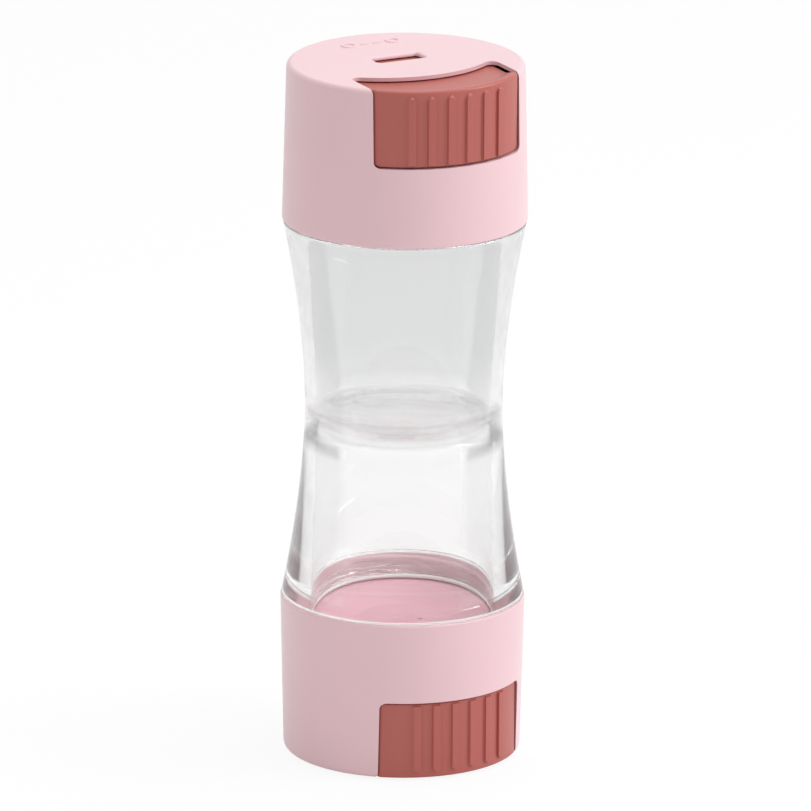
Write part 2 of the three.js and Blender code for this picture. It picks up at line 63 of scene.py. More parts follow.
# Levels, in an end's own frame
END = HEIGHT / 2
SHOULDER = 45.85
CAP_RIM = 46.15
NECK_END = 51.4
SEAL_LOW = 51.7
SEAL_TOP = 52.6
LID_LOW = 52.9
LID_TOP = 54.6
LEDGE = 54.9
TRAY_LOW = 70.75
TRAY_TOP = 72.95
SLIDE_LOW = 73.25
SLIDE_TOP = 82.75
PLATE_LOW = 83.1
PANEL_LOW = 81.15

# Cap
CAP_BORE_RADIUS = 26.7
CAP_WALL_RADIUS = 26.2
CAP_EDGE_RADIUS = 1.4
NOTCH_HALF_WIDTH = 19.2
NOTCH_LOW = 65.2
NOTCH_EDGE = 14.1
NOTCH_EDGE_RADIUS = 28
NOTCH_EDGE_FILLET = 1.8
NOTCH_CORNER_RADIUS = 1.5
SLOT_SIZE = (12.4, 5)
SLOT_Y = 4.1
SLOT_CORNER = 0.7
STOP_HALF = 2.7
BACK_POST = (13.02, 14.98)
SIDE_POST = (20.89, -2.94)

# Button
STROKE = 5.5
BUTTON_RADIUS = 28
BUTTON_WALL = 2.2
BUTTON_HALF_WIDTH = 18.85
BUTTON_LOW = 65.55
BUTTON_TOP = 83.9
BUTTON_RISE_RADIUS = 23.2
PANEL_BACK = 6.3
RIB_COUNT = 6
RIB_PITCH = 9.85  # degrees
RIB_HALF_WIDTH = 1.05
RIB_PROUD = 0.6
RIB_TOP = 82.45
SLIDE_HALF_WIDTH = 7.2
SLIDE_BACK = 12
SLIDE_EAR = 2.4
CHAMBER_SIZE = (12.4, 5)
CHAMBER_Y = SLOT_Y - STROKE

# Springs and tray
SPRING_X = 11.6
SPRING_Z = 77.1
SPRING_RADIUS = 2.1
SPRING_WIRE = 0.3
SPRING_TURNS = 5
SPRING_FROM = -21.2
SPRING_TO = -6.6
PAD_FACE = -21.8
PAD_RADIUS = 2.6
POST_FACE = -6
POST_DEPTH = 3
POST_INNER = 2.7  # from a spring's axis to its post's side nearest the middle
POST_OUTER = 2.9
STEM_RADIUS = 1.3
STEM_LENGTH = 3
RAIL_IN = 7.5
RAIL_OUT = 9
RAIL_FRONT = -12
RAIL_BACK = 9.3
RAIL_TOP = 80.95

# Lid, seal and cups
LID_RADIUS = 26.4
DISH_RIM_RADIUS = 20.4
DISH_FLOOR_RADIUS = 13.5
DISH_DEPTH = 3.1
SEAL_RADII = (23, 26.1)
NECK_RADIUS = 26.4
CAVITY_MOUTH_RADIUS = 22.7
CAVITY_FLOOR_RADIUS = 20.4
CAVITY_FILLET = 1.5
SHOULDER_RADIUS = 28.85
SHOULDER_EDGE = 0.45
FLARE_POWER = 1.75
UPPER_FOLD = -0.65  # level of the upper cup's foot
LOWER_FOLD = 0.95
FOOT_EDGE = 0.4
UPPER_FLOOR = -0.5
LOWER_FLOOR = 4.75
PLUG_RADIUS = 18.2
PLUG_LENGTH = 2.4
SOCKET_RADIUS = 18.5
GROOVE_RADIUS = 20.2
LIP_THICKNESS = 0.6
LUG_RADIUS = 19.9
LUG_HEIGHT = 0.9
LUG_ANGLE = 24
LUG_START = -122
LOCK_TURN = 30
THREAD_PITCH = 5
THREAD_DEPTH = 0.75

ARCH_CENTRE = NOTCH_EDGE_RADIUS - NOTCH_EDGE  # behind the axis, seen from the button
ROUND = 192  # flats round a full turn


# Meshes

def arc(x, z, radius, start, end, steps=6):
    """Points of an arc in a profile, between two angles in degrees."""
    angles = [math.radians(start + (end - start) * i / steps) for i in range(steps + 1)]
    return [(x + radius * math.cos(a), z + radius * math.sin(a)) for a in angles]


def turned(profile, ripple=None, flats=ROUND, ring=False):
    """A profile of (radius, level) points turned about the axis, closed flat at the axis."""
    bm = bmesh.new()
    rings = []
    for radius, level in profile:
        if radius <= 0:
            continue
        row = []
        for i in range(flats):
            angle = 2 * math.pi * (i + 0.5) / flats
            reach = radius + (ripple(angle, radius, level) if ripple else 0)
            row.append(bm.verts.new((reach * math.cos(angle), reach * math.sin(angle), level)))
        rings.append(row)
    pairs = list(zip(rings, rings[1:]))
    if ring:
        pairs.append((rings[-1], rings[0]))
    for low, high in pairs:
        for i in range(flats):
            j = (i + 1) % flats
            bm.faces.new((low[i], low[j], high[j], high[i]))
    if not ring:
        bm.faces.new(rings[0])
        bm.faces.new(rings[-1])
    bmesh.ops.recalc_face_normals(bm, faces=bm.faces)
    return bm


def prism(outline, low, high, axis="Z"):
    """An outline of (u, v) points run along an axis: Z takes (x, y), Y takes (x, z)."""
    bm = bmesh.new()
    ends = []
    for depth in (low, high):
        place = (lambda u, v: (u, v, depth)) if axis == "Z" else (lambda u, v: (u, depth, v))
        ends.append([bm.verts.new(place(u, v)) for u, v in outline])
    count = len(outline)
    for i in range(count):
        j = (i + 1) % count
        bm.faces.new((ends[0][i], ends[0][j], ends[1][j], ends[1][i]))
    bm.faces.new(ends[0])
    bm.faces.new(ends[1])
    bmesh.ops.recalc_face_normals(bm, faces=bm.faces)
    return bm


def block(x, y, z, edge=0.0):
    """A box between two corners, with its edges rounded."""
    bm = prism([(x[0], y[0]), (x[1], y[0]), (x[1], y[1]), (x[0], y[1])], z[0], z[1])
    if edge:
        bmesh.ops.bevel(bm, geom=bm.edges[:], offset=edge, segments=2, profile=0.5, affect="EDGES")
    return bm


def rod(x, z, start, end, radius, flats=32):
    """A round rod along Y."""
    outline = [(x + u, z + v) for u, v in arc(0, 0, radius, 0, 360, flats)[:-1]]
    return prism(outline, start, end, "Y")


def rounded_rectangle(width, depth, radius, x=0.0, y=0.0, steps=6):
    w, d = width / 2 - radius, depth / 2 - radius
    corners = [(w, d, 0), (-w, d, 90), (-w, -d, 180), (w, -d, 270)]
    return [
        point
        for cx, cy, start in corners
        for point in arc(x + cx, y + cy, radius, start, start + 90, steps)
    ]


def stand_in(bm, name="tool"):
    mesh = bpy.data.meshes.new(name)
    bm.to_mesh(mesh)
    bm.free()
    obj = bpy.data.objects.new(name, mesh)
    bpy.context.scene.collection.objects.link(obj)
    return obj


def combined(bm, tools, operation):
    """The body with each tool cut from it or joined to it."""
    body = stand_in(bm, "body")
    others = [stand_in(tool) for tool in tools]
    for other in others:
        modifier = body.modifiers.new("combine", "BOOLEAN")
        modifier.operation = operation
        modifier.object = other
        modifier.solver = "EXACT"
    bpy.context.view_layer.update()
    result = bmesh.new()
    result.from_object(body, bpy.context.evaluated_depsgraph_get())
    for obj in [body, *others]:
        mesh = obj.data
        bpy.data.objects.remove(obj)
        bpy.data.meshes.remove(mesh)
    bmesh.ops.remove_doubles(result, verts=result.verts, dist=0.0005)
    return result


def cut(bm, *tools):
    return combined(bm, tools, "DIFFERENCE")


def joined(bm, *tools):
    return combined(bm, tools, "UNION")


def round_edges(bm, chosen, width, segments=3):
    """Rounds the sharp edges that the test picks out."""
    edges = [
        e for e in bm.edges
        if len(e.link_faces) == 2 and e.calc_face_angle(0) > math.radians(30)
        and all(chosen(v.co) for v in e.verts)
    ]
    if edges:
        bmesh.ops.bevel(
            bm, geom=edges, offset=width, segments=segments, profile=0.5,
            affect="EDGES", clamp_overlap=True,
        )


def end_matrix(side):
    """From an end's own frame in millimetres to the part's frame in metres."""
    place = Matrix.Translation((0, 0, END * MM)) @ Matrix.Scale(MM, 4)
    if side == "upper":
        return place
    turn = Matrix.Rotation(math.radians(LOWER_END_TURN), 4, "Z")
    return place @ turn @ Matrix.Rotation(math.pi, 4, "Y")


def finish_piece(bm, name, material, body, nodes, side, sharp=32):
    """Turns a mesh into a piece of the object that rides on a body."""
    bmesh.ops.recalc_face_normals(bm, faces=bm.faces)
    if bm.calc_volume(signed=True) < 0:
        bmesh.ops.reverse_faces(bm, faces=bm.faces)
    bm.transform(end_matrix(side))
    for face in bm.faces:
        face.smooth = True
    for edge in bm.edges:
        edge.smooth = edge.calc_face_angle(0) < math.radians(sharp)
    mesh = bpy.data.meshes.new(name)
    bm.to_mesh(mesh)
    bm.free()
    mesh.materials.append(material)
    obj = bpy.data.objects.new(name, mesh)
    bpy.context.scene.collection.objects.link(obj)
    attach(obj, body)
    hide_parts(*nodes)
    if material in (pink, rose):
        steady = obj.modifiers.new("steady_flats", "WEIGHTED_NORMAL")
        steady.keep_sharp = True
    return obj


# Cups

def flare_radius(level):
    share = abs(level) / 46.1
    return WAIST_RADIUS + (SHOULDER_RADIUS - WAIST_RADIUS) * share ** FLARE_POWER


def smooth_step(value):
    value = min(max(value, 0.0), 1.0)
    return value * value * (3 - 2 * value)


def thread(angle, level, centre, low, high, half_width=0.85):
    """Height, 0 to 1, of a right-hand thread's ridge at a point, run out at both ends."""
    best = 0.0
    for turns in range(-2, 3):
        run = angle + 2 * math.pi * turns
        ridge = centre + THREAD_PITCH * run / (2 * math.pi)
        fade = smooth_step((ridge - low) / 0.35) * smooth_step((high - ridge) / 0.35)
        side = smooth_step((half_width - abs(level - ridge)) / 0.45)
        best = max(best, fade * side)
    return best


def cup_profile(foot, floor):
    flare = [(WAIST_RADIUS - FOOT_EDGE, foot)] + [
        (flare_radius(foot + FOOT_EDGE) - FOOT_EDGE + u, w)
        for u, w in arc(0, foot + FOOT_EDGE, FOOT_EDGE, -90, 0, 4)[1:-1]
    ]
    start, stop = foot + FOOT_EDGE, SHOULDER - SHOULDER_EDGE
    steps = 40
    for i in range(steps + 1):
        level = start + (stop - start) * i / steps
        flare.append((flare_radius(level), level))
    rim = flare_radius(stop)
    flare += arc(rim - SHOULDER_EDGE, stop, SHOULDER_EDGE, 0, 90, 5)[1:]
    root = NECK_RADIUS - THREAD_DEPTH
    flare += arc(root + 0.3, SHOULDER + 0.3, -0.3, 90, 0, 4)
    neck_steps = 22
    for i in range(1, neck_steps):
        flare.append((root, SHOULDER + 0.3 + (NECK_END - SHOULDER - 0.6) * i / neck_steps))
    flare += arc(root - 0.3, NECK_END - 0.3, 0.3, 0, 90, 4)
    flare += arc(CAVITY_MOUTH_RADIUS + 0.4, NECK_END - 0.4, 0.4, 90, 180, 4)
    slope = (CAVITY_MOUTH_RADIUS - CAVITY_FLOOR_RADIUS) / (NECK_END - floor)
    corner = CAVITY_FLOOR_RADIUS + slope * CAVITY_FILLET
    for i in range(1, 12):
        level = NECK_END - 0.4 + (floor + CAVITY_FILLET - NECK_END + 0.4) * i / 12
        flare.append((corner + slope * (level - floor - CAVITY_FILLET), level))
    flare += arc(corner - CAVITY_FILLET, floor + CAVITY_FILLET, CAVITY_FILLET, 0, -90, 8)
    return flare


def neck_thread(angle, radius, level):
    if radius < NECK_RADIUS - 2 or not SHOULDER + 0.3 < level < NECK_END:
        return 0
    return THREAD_DEPTH * thread(angle, level, 48.6, 47.0, 50.5)


def ring_wedge(inner, outer, low, high, angle, width):
    edge = arc(0, 0, outer, angle - width / 2, angle + width / 2, 16)
    back = arc(0, 0, inner, angle + width / 2, angle - width / 2, 16)
    return prism(edge + back, low, high)


def upper_cup():
    foot, floor = UPPER_FOLD, UPPER_FLOOR
    low = foot - PLUG_LENGTH
    outline = [(PLUG_RADIUS - 0.3, low), (PLUG_RADIUS, low + 0.3), (PLUG_RADIUS, foot)]
    outline += cup_profile(foot, floor)
    outline += arc(2.4, floor - 0.12, 0.12, 90, 180, 2)
    bm = turned(outline, neck_thread)
    lug_low = low + 0.3
    lugs = [
        ring_wedge(
            PLUG_RADIUS - 1, LUG_RADIUS, lug_low, lug_low + LUG_HEIGHT, LUG_START + 120 * i, LUG_ANGLE,
        )
        for i in range(3)
    ]
    return joined(bm, *lugs)


def lower_cup():
    foot, floor = LOWER_FOLD, LOWER_FLOOR
    top, lip = foot + PLUG_LENGTH, foot + LIP_THICKNESS
    inside = [(GROOVE_RADIUS, top), (GROOVE_RADIUS, lip), (SOCKET_RADIUS, lip), (SOCKET_RADIUS, foot)]
    outline = inside + cup_profile(foot, floor)
    outline += arc(2.4, floor - 0.12, 0.12, 90, 180, 2)
    bm = turned(outline, neck_thread)
    ways_in = [
        ring_wedge(
            SOCKET_RADIUS - 1, GROOVE_RADIUS, foot - 1, lip + 0.5,
            180 - (LUG_START + 120 * i + LOCK_TURN - LOWER_END_TURN), LUG_ANGLE + 4,
        )
        for i in range(3)
    ]
    return cut(bm, *ways_in)


# Cap

def notch_fillet():
    """Centre of the round between the plate's arched edge and the notch's side, and its angle."""
    x = NOTCH_HALF_WIDTH - NOTCH_EDGE_FILLET
    reach = math.asin(x / (NOTCH_EDGE_RADIUS + NOTCH_EDGE_FILLET))
    y = ARCH_CENTRE - (NOTCH_EDGE_RADIUS + NOTCH_EDGE_FILLET) * math.cos(reach)
    return x, y, math.degrees(reach)


def notch_plan():
    side, front = NOTCH_HALF_WIDTH, -CAP_RIM_RADIUS - 6
    x, y, reach = notch_fillet()
    return [(-side, front), (side, front)] + \
        arc(x, y, NOTCH_EDGE_FILLET, 0, 90 + reach, 10) + \
        arc(0, ARCH_CENTRE, NOTCH_EDGE_RADIUS, -90 + reach, -90 - reach, 44)[1:-1] + \
        arc(-x, y, NOTCH_EDGE_FILLET, 90 - reach, 180, 10)


def plate_edge(x):
    """Where the end plate's arched edge lies at a distance to the side."""
    fillet_x, fillet_y, reach = notch_fillet()
    arch = ARCH_CENTRE - math.sqrt(NOTCH_EDGE_RADIUS ** 2 - x * x)
    over = abs(x) - fillet_x
    if abs(x) < NOTCH_EDGE_RADIUS * math.sin(math.radians(reach)):
        return arch
    return fillet_y + math.sqrt(max(0.0, NOTCH_EDGE_FILLET ** 2 - over * over))


def front_outline(half_width, low, corner, high):
    outline = [(half_width, high), (-half_width, high)]
    outline += arc(-half_width + corner, low + corner, corner, 180, 270, 8)
    outline += arc(half_width - corner, low + corner, corner, 270, 360, 8)
    return outline


def bore_thread(angle, radius, level):
    if abs(radius - CAP_BORE_RADIUS) > 0.01 or not CAP_RIM + 0.3 < level < NECK_END:
        return 0
    return -THREAD_DEPTH * thread(angle, level, 48.6 + THREAD_PITCH / 2, 47.2, 50.2)


def cap(side):
    edge = CAP_EDGE_RADIUS
    bore = [(CAP_BORE_RADIUS + 0.3, CAP_RIM), (CAP_RIM_RADIUS - 0.3, CAP_RIM)]
    outline = bore[1:] + arc(CAP_RIM_RADIUS - 0.3, CAP_RIM + 0.3, 0.3, -90, 0, 4)[1:]
    outline += arc(CAP_END_RADIUS - edge, END - edge, edge, 1, 90, 10)
    outline.append((0, END))
    shell = [
        (CAP_WALL_RADIUS - 0.4, PLATE_LOW), (CAP_WALL_RADIUS, PLATE_LOW - 0.4),
        (CAP_WALL_RADIUS, LEDGE), (CAP_BORE_RADIUS, LEDGE),
    ]
    steps = 26
    shell += [
        (CAP_BORE_RADIUS, LEDGE + (CAP_RIM + 0.3 - LEDGE) * i / steps) for i in range(1, steps + 1)
    ]
    # one closed surface: from the plate's underside, round the rim, to the middle of its top
    bm = turned(shell + bore[:1] + outline[:-1], bore_thread)
    through_plate = prism(notch_plan(), PLATE_LOW - 0.5, END + 6)
    wall = prism(
        front_outline(NOTCH_HALF_WIDTH, NOTCH_LOW, NOTCH_CORNER_RADIUS, PLATE_LOW - 0.25),
        -CAP_RIM_RADIUS - 6, -NOTCH_EDGE, "Y",
    )
    slot = prism(rounded_rectangle(*SLOT_SIZE, SLOT_CORNER, 0, SLOT_Y), PLATE_LOW - 1, END + 1)
    bm = cut(bm, joined(through_plate, wall), slot)

    def on_slot(co):
        return co.z > END - 0.01 and abs(co.x) < 6.3 and abs(co.y - SLOT_Y) < 2.6

    def on_arc(co):
        near = abs(co.y - plate_edge(min(abs(co.x), NOTCH_HALF_WIDTH))) < 0.2
        beside = abs(co.x) > NOTCH_HALF_WIDTH - 0.02 and co.y > -CAP_END_RADIUS
        return co.z > END - 0.01 and abs(co.x) < NOTCH_HALF_WIDTH + 0.05 and (near or beside)

    round_edges(bm, on_slot, 0.7, 4)
    round_edges(bm, on_arc, 0.85, 5)
    stops = [
        block((s * BACK_POST[0] - STOP_HALF, s * BACK_POST[0] + STOP_HALF),
              (BACK_POST[1] - STOP_HALF, BACK_POST[1] + STOP_HALF),
              (TRAY_TOP + 0.3, PLATE_LOW + 0.5))
        for s in (-1, 1)
    ]
    bm = joined(bm, *stops)
    if side == "upper":
        add_mark(bm)
    return bm


MARK_SHAPES = (  # place, half width, half depth, open in the middle
    (-5.6, 1.9, 1.9, True),
    (-1.5, 1.2, 0.55, False),
    (1.9, 1.2, 0.55, False),
    (6.0, 1.9, 1.9, True),
)


def add_mark(bm):
    """A small raised motif on the end plate: two rings with two bars between them."""
    y = 18.7
    for x, half_width, half_depth, hole in MARK_SHAPES:
        rows = []
        if hole:
            shape = [(1.0, -0.2), (1.0, 0.1), (0.93, 0.2), (0.72, 0.2), (0.66, 0.1), (0.66, -0.2)]
        else:
            shape = [(1.0, -0.2), (1.0, 0.1), (0.7, 0.2)]
        for share, rise in shape:
            rows.append([
                bm.verts.new((
                    x + share * half_width * math.cos(a),
                    y + share * half_depth * math.sin(a),
                    END + rise,
                ))
                for a in [2 * math.pi * i / 40 for i in range(40)]
            ])
        for low, high in zip(rows, rows[1:]):
            for i in range(40):
                j = (i + 1) % 40
                bm.faces.new((low[i], low[j], high[j], high[i]))
        if hole:
            for i in range(40):
                j = (i + 1) % 40
                bm.faces.new((rows[-1][i], rows[-1][j], rows[0][j], rows[0][i]))
        else:
            bm.faces.new(rows[-1])
            bm.faces.new(rows[0])


# Button

def rib_height(x, radius, level):
    """How far the face stands out at a point, for the ribs."""
    angle = math.degrees(math.asin(min(1, abs(x) / radius))) * (1 if x > 0 else -1)
    best = 0.0
    for number in range(RIB_COUNT):
        centre = (number - (RIB_COUNT - 1) / 2) * RIB_PITCH
        across = math.radians(angle - centre) * radius
        above = max(0.0, level - (RIB_TOP - RIB_HALF_WIDTH))
        away = math.hypot(across, above)
        best = max(best, smooth_step((RIB_HALF_WIDTH + 0.05 - away) / 0.22))
    return RIB_PROUD * best


def button_shell():
    """The button's face and top, built in columns from side to side, each a closed loop."""
    side_edge, corner, top_edge = 0.45, NOTCH_CORNER_RADIUS - 0.35, 0.8
    inner = BUTTON_RADIUS - BUTTON_WALL
    columns = 240
    half = BUTTON_HALF_WIDTH
    bm = bmesh.new()
    loops = []
    places = [-half + 2 * half * i / columns for i in range(columns + 1)]
    extra = [half - side_edge * (1 - math.cos(math.radians(15 * k))) for k in range(6)]
    flat = [p for p in places if abs(p) < half - side_edge]
    places = sorted(set(flat) | set(extra) | set(-p for p in extra))
    for x in places:
        near = half - abs(x)
        inset = 0.0
        if near < side_edge:
            inset = side_edge - math.sqrt(max(0.0, side_edge ** 2 - (side_edge - near) ** 2))
        low = BUTTON_LOW
        if near < corner:
            low += corner - math.sqrt(max(0.0, corner ** 2 - (corner - near) ** 2))
        loop = []

        def add(radius, level):
            loop.append((x, -math.sqrt(max(radius * radius - x * x, 0.01)), level))

        low_edge = 0.3
        for radius, level in arc(BUTTON_RADIUS - low_edge, low + low_edge, low_edge, -80, 0, 4):
            add(radius - inset, level)
        face_top = BUTTON_TOP - top_edge
        rows = 72
        for i in range(1, rows + 1):
            level = low + low_edge + (face_top - low - low_edge) * i / rows
            add(BUTTON_RADIUS - inset + rib_height(x, BUTTON_RADIUS, level), level)
        for radius, level in arc(BUTTON_RADIUS - top_edge, face_top, top_edge, 10, 84, 7):
            add(radius - inset, level - inset)
        rise = max(BUTTON_RISE_RADIUS, math.hypot(x, plate_edge(x) - STROKE - 0.4))
        for i in range(1, 13):
            t = i / 12
            ease = smooth_step(t)
            radius = BUTTON_RADIUS - top_edge + (rise - BUTTON_RADIUS + top_edge) * t
            add(radius, BUTTON_TOP - 0.02 + (SLIDE_TOP - BUTTON_TOP + 0.02) * ease - inset)
        for y in (-11, -9.5, -PANEL_BACK):
            loop.append((x, y, SLIDE_TOP - inset))
        loop.append((x, -PANEL_BACK, PANEL_LOW))
        add(inner - 0.6, PANEL_LOW)
        add(inner - 0.15, PANEL_LOW - 0.15)
        add(inner, PANEL_LOW - 0.6)
        add(inner, low)
        loops.append([bm.verts.new(p) for p in loop])
    for left, right in zip(loops, loops[1:]):
        count = len(left)
        for i in range(count):
            j = (i + 1) % count
            bm.faces.new((left[i], left[j], right[j], right[i]))
    bm.faces.new(loops[0])
    bm.faces.new(loops[-1])
    bmesh.ops.recalc_face_normals(bm, faces=bm.faces)
    return bm


def button():
    inner = BUTTON_RADIUS - BUTTON_WALL
    bm = button_shell()
    across = (-SLIDE_HALF_WIDTH, SLIDE_HALF_WIDTH)
    pieces = [
        block(across, (-inner + BUTTON_WALL, SLIDE_BACK), (SLIDE_LOW, SLIDE_TOP), 0.2),
        block(across, (-inner - 0.3, -inner + BUTTON_WALL + 0.8), (SLIDE_LOW, SLIDE_TOP - 0.8)),
        block(
            (-RAIL_OUT, RAIL_OUT), (SLIDE_BACK - SLIDE_EAR, SLIDE_BACK - 0.1),
            (SLIDE_LOW + 0.1, SLIDE_LOW + 8), 0.15,
        ),
    ]
    for s in (-1, 1):
        wall_y = -math.sqrt((inner + 0.9) ** 2 - (SPRING_X + PAD_RADIUS) ** 2)
        pieces.append(rod(s * SPRING_X, SPRING_Z, wall_y, PAD_FACE, PAD_RADIUS))
        pieces.append(rod(s * SPRING_X, SPRING_Z, PAD_FACE - 0.5, PAD_FACE + STEM_LENGTH, STEM_RADIUS))
    chamber = prism(rounded_rectangle(*CHAMBER_SIZE, 0.5, 0, CHAMBER_Y), SLIDE_LOW - 1, SLIDE_TOP + 1)
    return cut(joined(bm, *pieces), chamber)


# Inner pieces

def spring(side_sign):
    bm = bmesh.new()
    per_turn, around = 28, 12
    lead = 0.75  # closed turns at each end
    total = SPRING_TURNS * per_turn
    rows = []
    for i in range(total + 1):
        turn = SPRING_TURNS * i / total
        angle = 2 * math.pi * turn
        share = smooth_step((turn - lead * 0.5) / (SPRING_TURNS - lead))
        y = SPRING_FROM + (SPRING_TO - SPRING_FROM) * share
        centre = Vector((
            side_sign * SPRING_X + SPRING_RADIUS * math.cos(angle),
            y,
            SPRING_Z + SPRING_RADIUS * math.sin(angle),
        ))
        out = Vector((math.cos(angle), 0, math.sin(angle)))
        along = Vector((0, 1, 0))
        rows.append([
            bm.verts.new(centre + SPRING_WIRE * (out * math.cos(a) + along * math.sin(a)))
            for a in [2 * math.pi * k / around for k in range(around)]
        ])
    for low, high in zip(rows, rows[1:]):
        for k in range(around):
            j = (k + 1) % around
            bm.faces.new((low[k], low[j], high[j], high[k]))
    bm.faces.new(rows[0])
    bm.faces.new(rows[-1])
    bmesh.ops.recalc_face_normals(bm, faces=bm.faces)
    return bm


def tray():
    radius = CAP_WALL_RADIUS - 0.3
    disc = turned([(radius - 0.3, TRAY_LOW), (radius, TRAY_LOW + 0.3), (radius, TRAY_TOP - 0.3),
                   (radius - 0.3, TRAY_TOP)])
    reach = BUTTON_RADIUS - BUTTON_WALL - 0.3
    kept = turned([(reach, TRAY_LOW - 2), (reach, TRAY_TOP + 2)])
    kept.transform(Matrix.Translation((0, STROKE, 0)))
    front = block((-NOTCH_HALF_WIDTH, NOTCH_HALF_WIDTH), (-2 * radius, 0), (TRAY_LOW - 1, TRAY_TOP + 1))
    tools = [cut(front, kept)]
    tools.append(prism(rounded_rectangle(*CHAMBER_SIZE, 0.5, 0, CHAMBER_Y), TRAY_LOW - 1, TRAY_TOP + 1))
    parts = []
    root = TRAY_TOP - 0.5
    for s in (-1, 1):
        x = s * SPRING_X
        rail_sides = sorted((s * RAIL_IN, s * RAIL_OUT))
        post_sides = sorted((x - s * POST_INNER, x + s * POST_OUTER))
        parts.append(block(rail_sides, (RAIL_FRONT, RAIL_BACK), (root, RAIL_TOP), 0.2))
        parts.append(block(post_sides, (POST_FACE, POST_FACE + POST_DEPTH), (root, SPRING_Z + PAD_RADIUS), 0.2))
        parts.append(rod(x, SPRING_Z, POST_FACE - STEM_LENGTH, POST_FACE + 0.5, STEM_RADIUS))
    return cut(joined(disc, *parts), *tools)


def inner_lid():
    skin = LID_TOP - LID_LOW
    floor = LID_LOW + DISH_DEPTH
    outline = [(DISH_FLOOR_RADIUS - 0.6, floor), (DISH_FLOOR_RADIUS - 0.1, floor - 0.08),
               (DISH_FLOOR_RADIUS + 0.4, floor - 0.3),
               (DISH_RIM_RADIUS - 0.5, LID_LOW + 0.28), (DISH_RIM_RADIUS, LID_LOW + 0.08),
               (DISH_RIM_RADIUS + 0.5, LID_LOW)]
    outline += arc(LID_RADIUS - 0.3, LID_LOW + 0.3, 0.3, -90, 0, 4)
    outline += [(LID_RADIUS, LID_TOP - 0.2), (LID_RADIUS - 0.2, LID_TOP),
                (DISH_RIM_RADIUS + skin / 2, LID_TOP),
                (DISH_FLOOR_RADIUS + skin / 2, LID_TOP + DISH_DEPTH)]
    bm = turned(outline)
    top = TRAY_LOW - 0.3
    spout = prism(rounded_rectangle(15.4, 8, 1.2, 0, CHAMBER_Y), floor + skin / 2, top)
    posts = []
    for px, py in (SIDE_POST, BACK_POST):
        for s in (-1, 1):
            outline = [(s * px + u, py + v) for u, v in arc(0, 0, 1.8, 0, 360, 32)[:-1]]
            posts.append(prism(outline, LID_TOP - 0.5, top))
    hole = prism(rounded_rectangle(*CHAMBER_SIZE, 0.5, 0, CHAMBER_Y), LID_LOW - 1, top + 1)
    return cut(joined(bm, spout, *posts), hole)


def seal_ring():
    inner, outer = SEAL_RADII
    radius = (SEAL_TOP - SEAL_LOW) / 2
    middle = SEAL_LOW + radius
    outline = arc(outer - radius, middle, radius, -90, 90, 8)
    outline += arc(inner + radius, middle, radius, 90, 270, 8)
    return turned(outline, ring=True)


# Materials

class Value:
    """A node's output, so that shader sums read as sums."""

    def __init__(self, tree, socket):
        self.tree = tree
        self.socket = socket

    def math(self, operation, *others):
        inputs = {0: self, **dict(enumerate(others, 1))}
        return self.node("ShaderNodeMath", "Value", inputs, operation=operation)

    def node(self, kind, output, inputs, **settings):
        made = self.tree.nodes.new(kind)
        for key, setting in settings.items():
            setattr(made, key, setting)
        for key, source in inputs.items():
            if isinstance(source, Value):
                self.tree.links.new(source.socket, made.inputs[key])
            else:
                made.inputs[key].default_value = source
        return Value(self.tree, made.outputs[output])

    def __add__(self, other):
        return self.math("ADD", other)

    def __sub__(self, other):
        return self.math("SUBTRACT", other)

    def __mul__(self, other):
        return self.math("MULTIPLY", other)

    def __rsub__(self, other):
        return (self * -1) + other

    __radd__ = __add__
    __rmul__ = __mul__


def new_material(name):
    material = bpy.data.materials.new(name)
    material.use_nodes = True
    tree = material.node_tree
    shader = tree.nodes["Principled BSDF"]
    place = tree.nodes.new("ShaderNodeTexCoord")
    return material, tree, shader, Value(tree, place.outputs["Object"])


def noise(place, scale, detail=2.0, roughness=0.5):
    return place.node("ShaderNodeTexNoise", "Fac", {
        "Vector": place, "Scale": scale, "Detail": detail, "Roughness": roughness,
    })


def colour_mix(factor, first, second):
    mixed = factor.tree.nodes.new("ShaderNodeMix")
    mixed.data_type = "RGBA"
    factor.tree.links.new(factor.socket, mixed.inputs["Factor"])
    colours = [socket for socket in mixed.inputs if socket.type == "RGBA"]
    colours[0].default_value = first
    colours[1].default_value = second
    output = [socket for socket in mixed.outputs if socket.type == "RGBA"][0]
    return Value(factor.tree, output)


def add_bump(shader, height, strength, distance):
    bump = height.node("ShaderNodeBump", "Normal", {
        "Height": height, "Strength": strength, "Distance": distance,
    })
    height.tree.links.new(bump.socket, shader.inputs["Normal"])


def moulded_plastic(name, colour, roughness, coat=0.0, specular=0.5, velvet=0.0):
    """Satin moulded plastic: a faint cloudy tone, fine grain and slightly uneven sheen."""
    material, tree, shader, place = new_material(name)
    cloud = noise(place, 45, 3)
    darker = tuple(c * (1 - TONE_CHANGE) for c in colour) + (1,)
    lighter = tuple(min(1, c * (1 + TONE_CHANGE)) for c in colour) + (1,)
    tree.links.new(colour_mix(cloud, darker, lighter).socket, shader.inputs["Base Color"])
    fine = noise(place, 5200, 2)
    sheen = fine * 0.10 + noise(place, 130, 2) * 0.08 + (roughness - 0.09)
    tree.links.new(sheen.socket, shader.inputs["Roughness"])
    add_bump(shader, fine, 0.35, 0.00002)
    shader.inputs["IOR"].default_value = 1.5
    shader.inputs["Coat Weight"].default_value = coat
    shader.inputs["Coat Roughness"].default_value = 0.45
    shader.inputs["Specular IOR Level"].default_value = specular
    shader.inputs["Sheen Weight"].default_value = velvet
    shader.inputs["Sheen Roughness"].default_value = 0.35
    return material


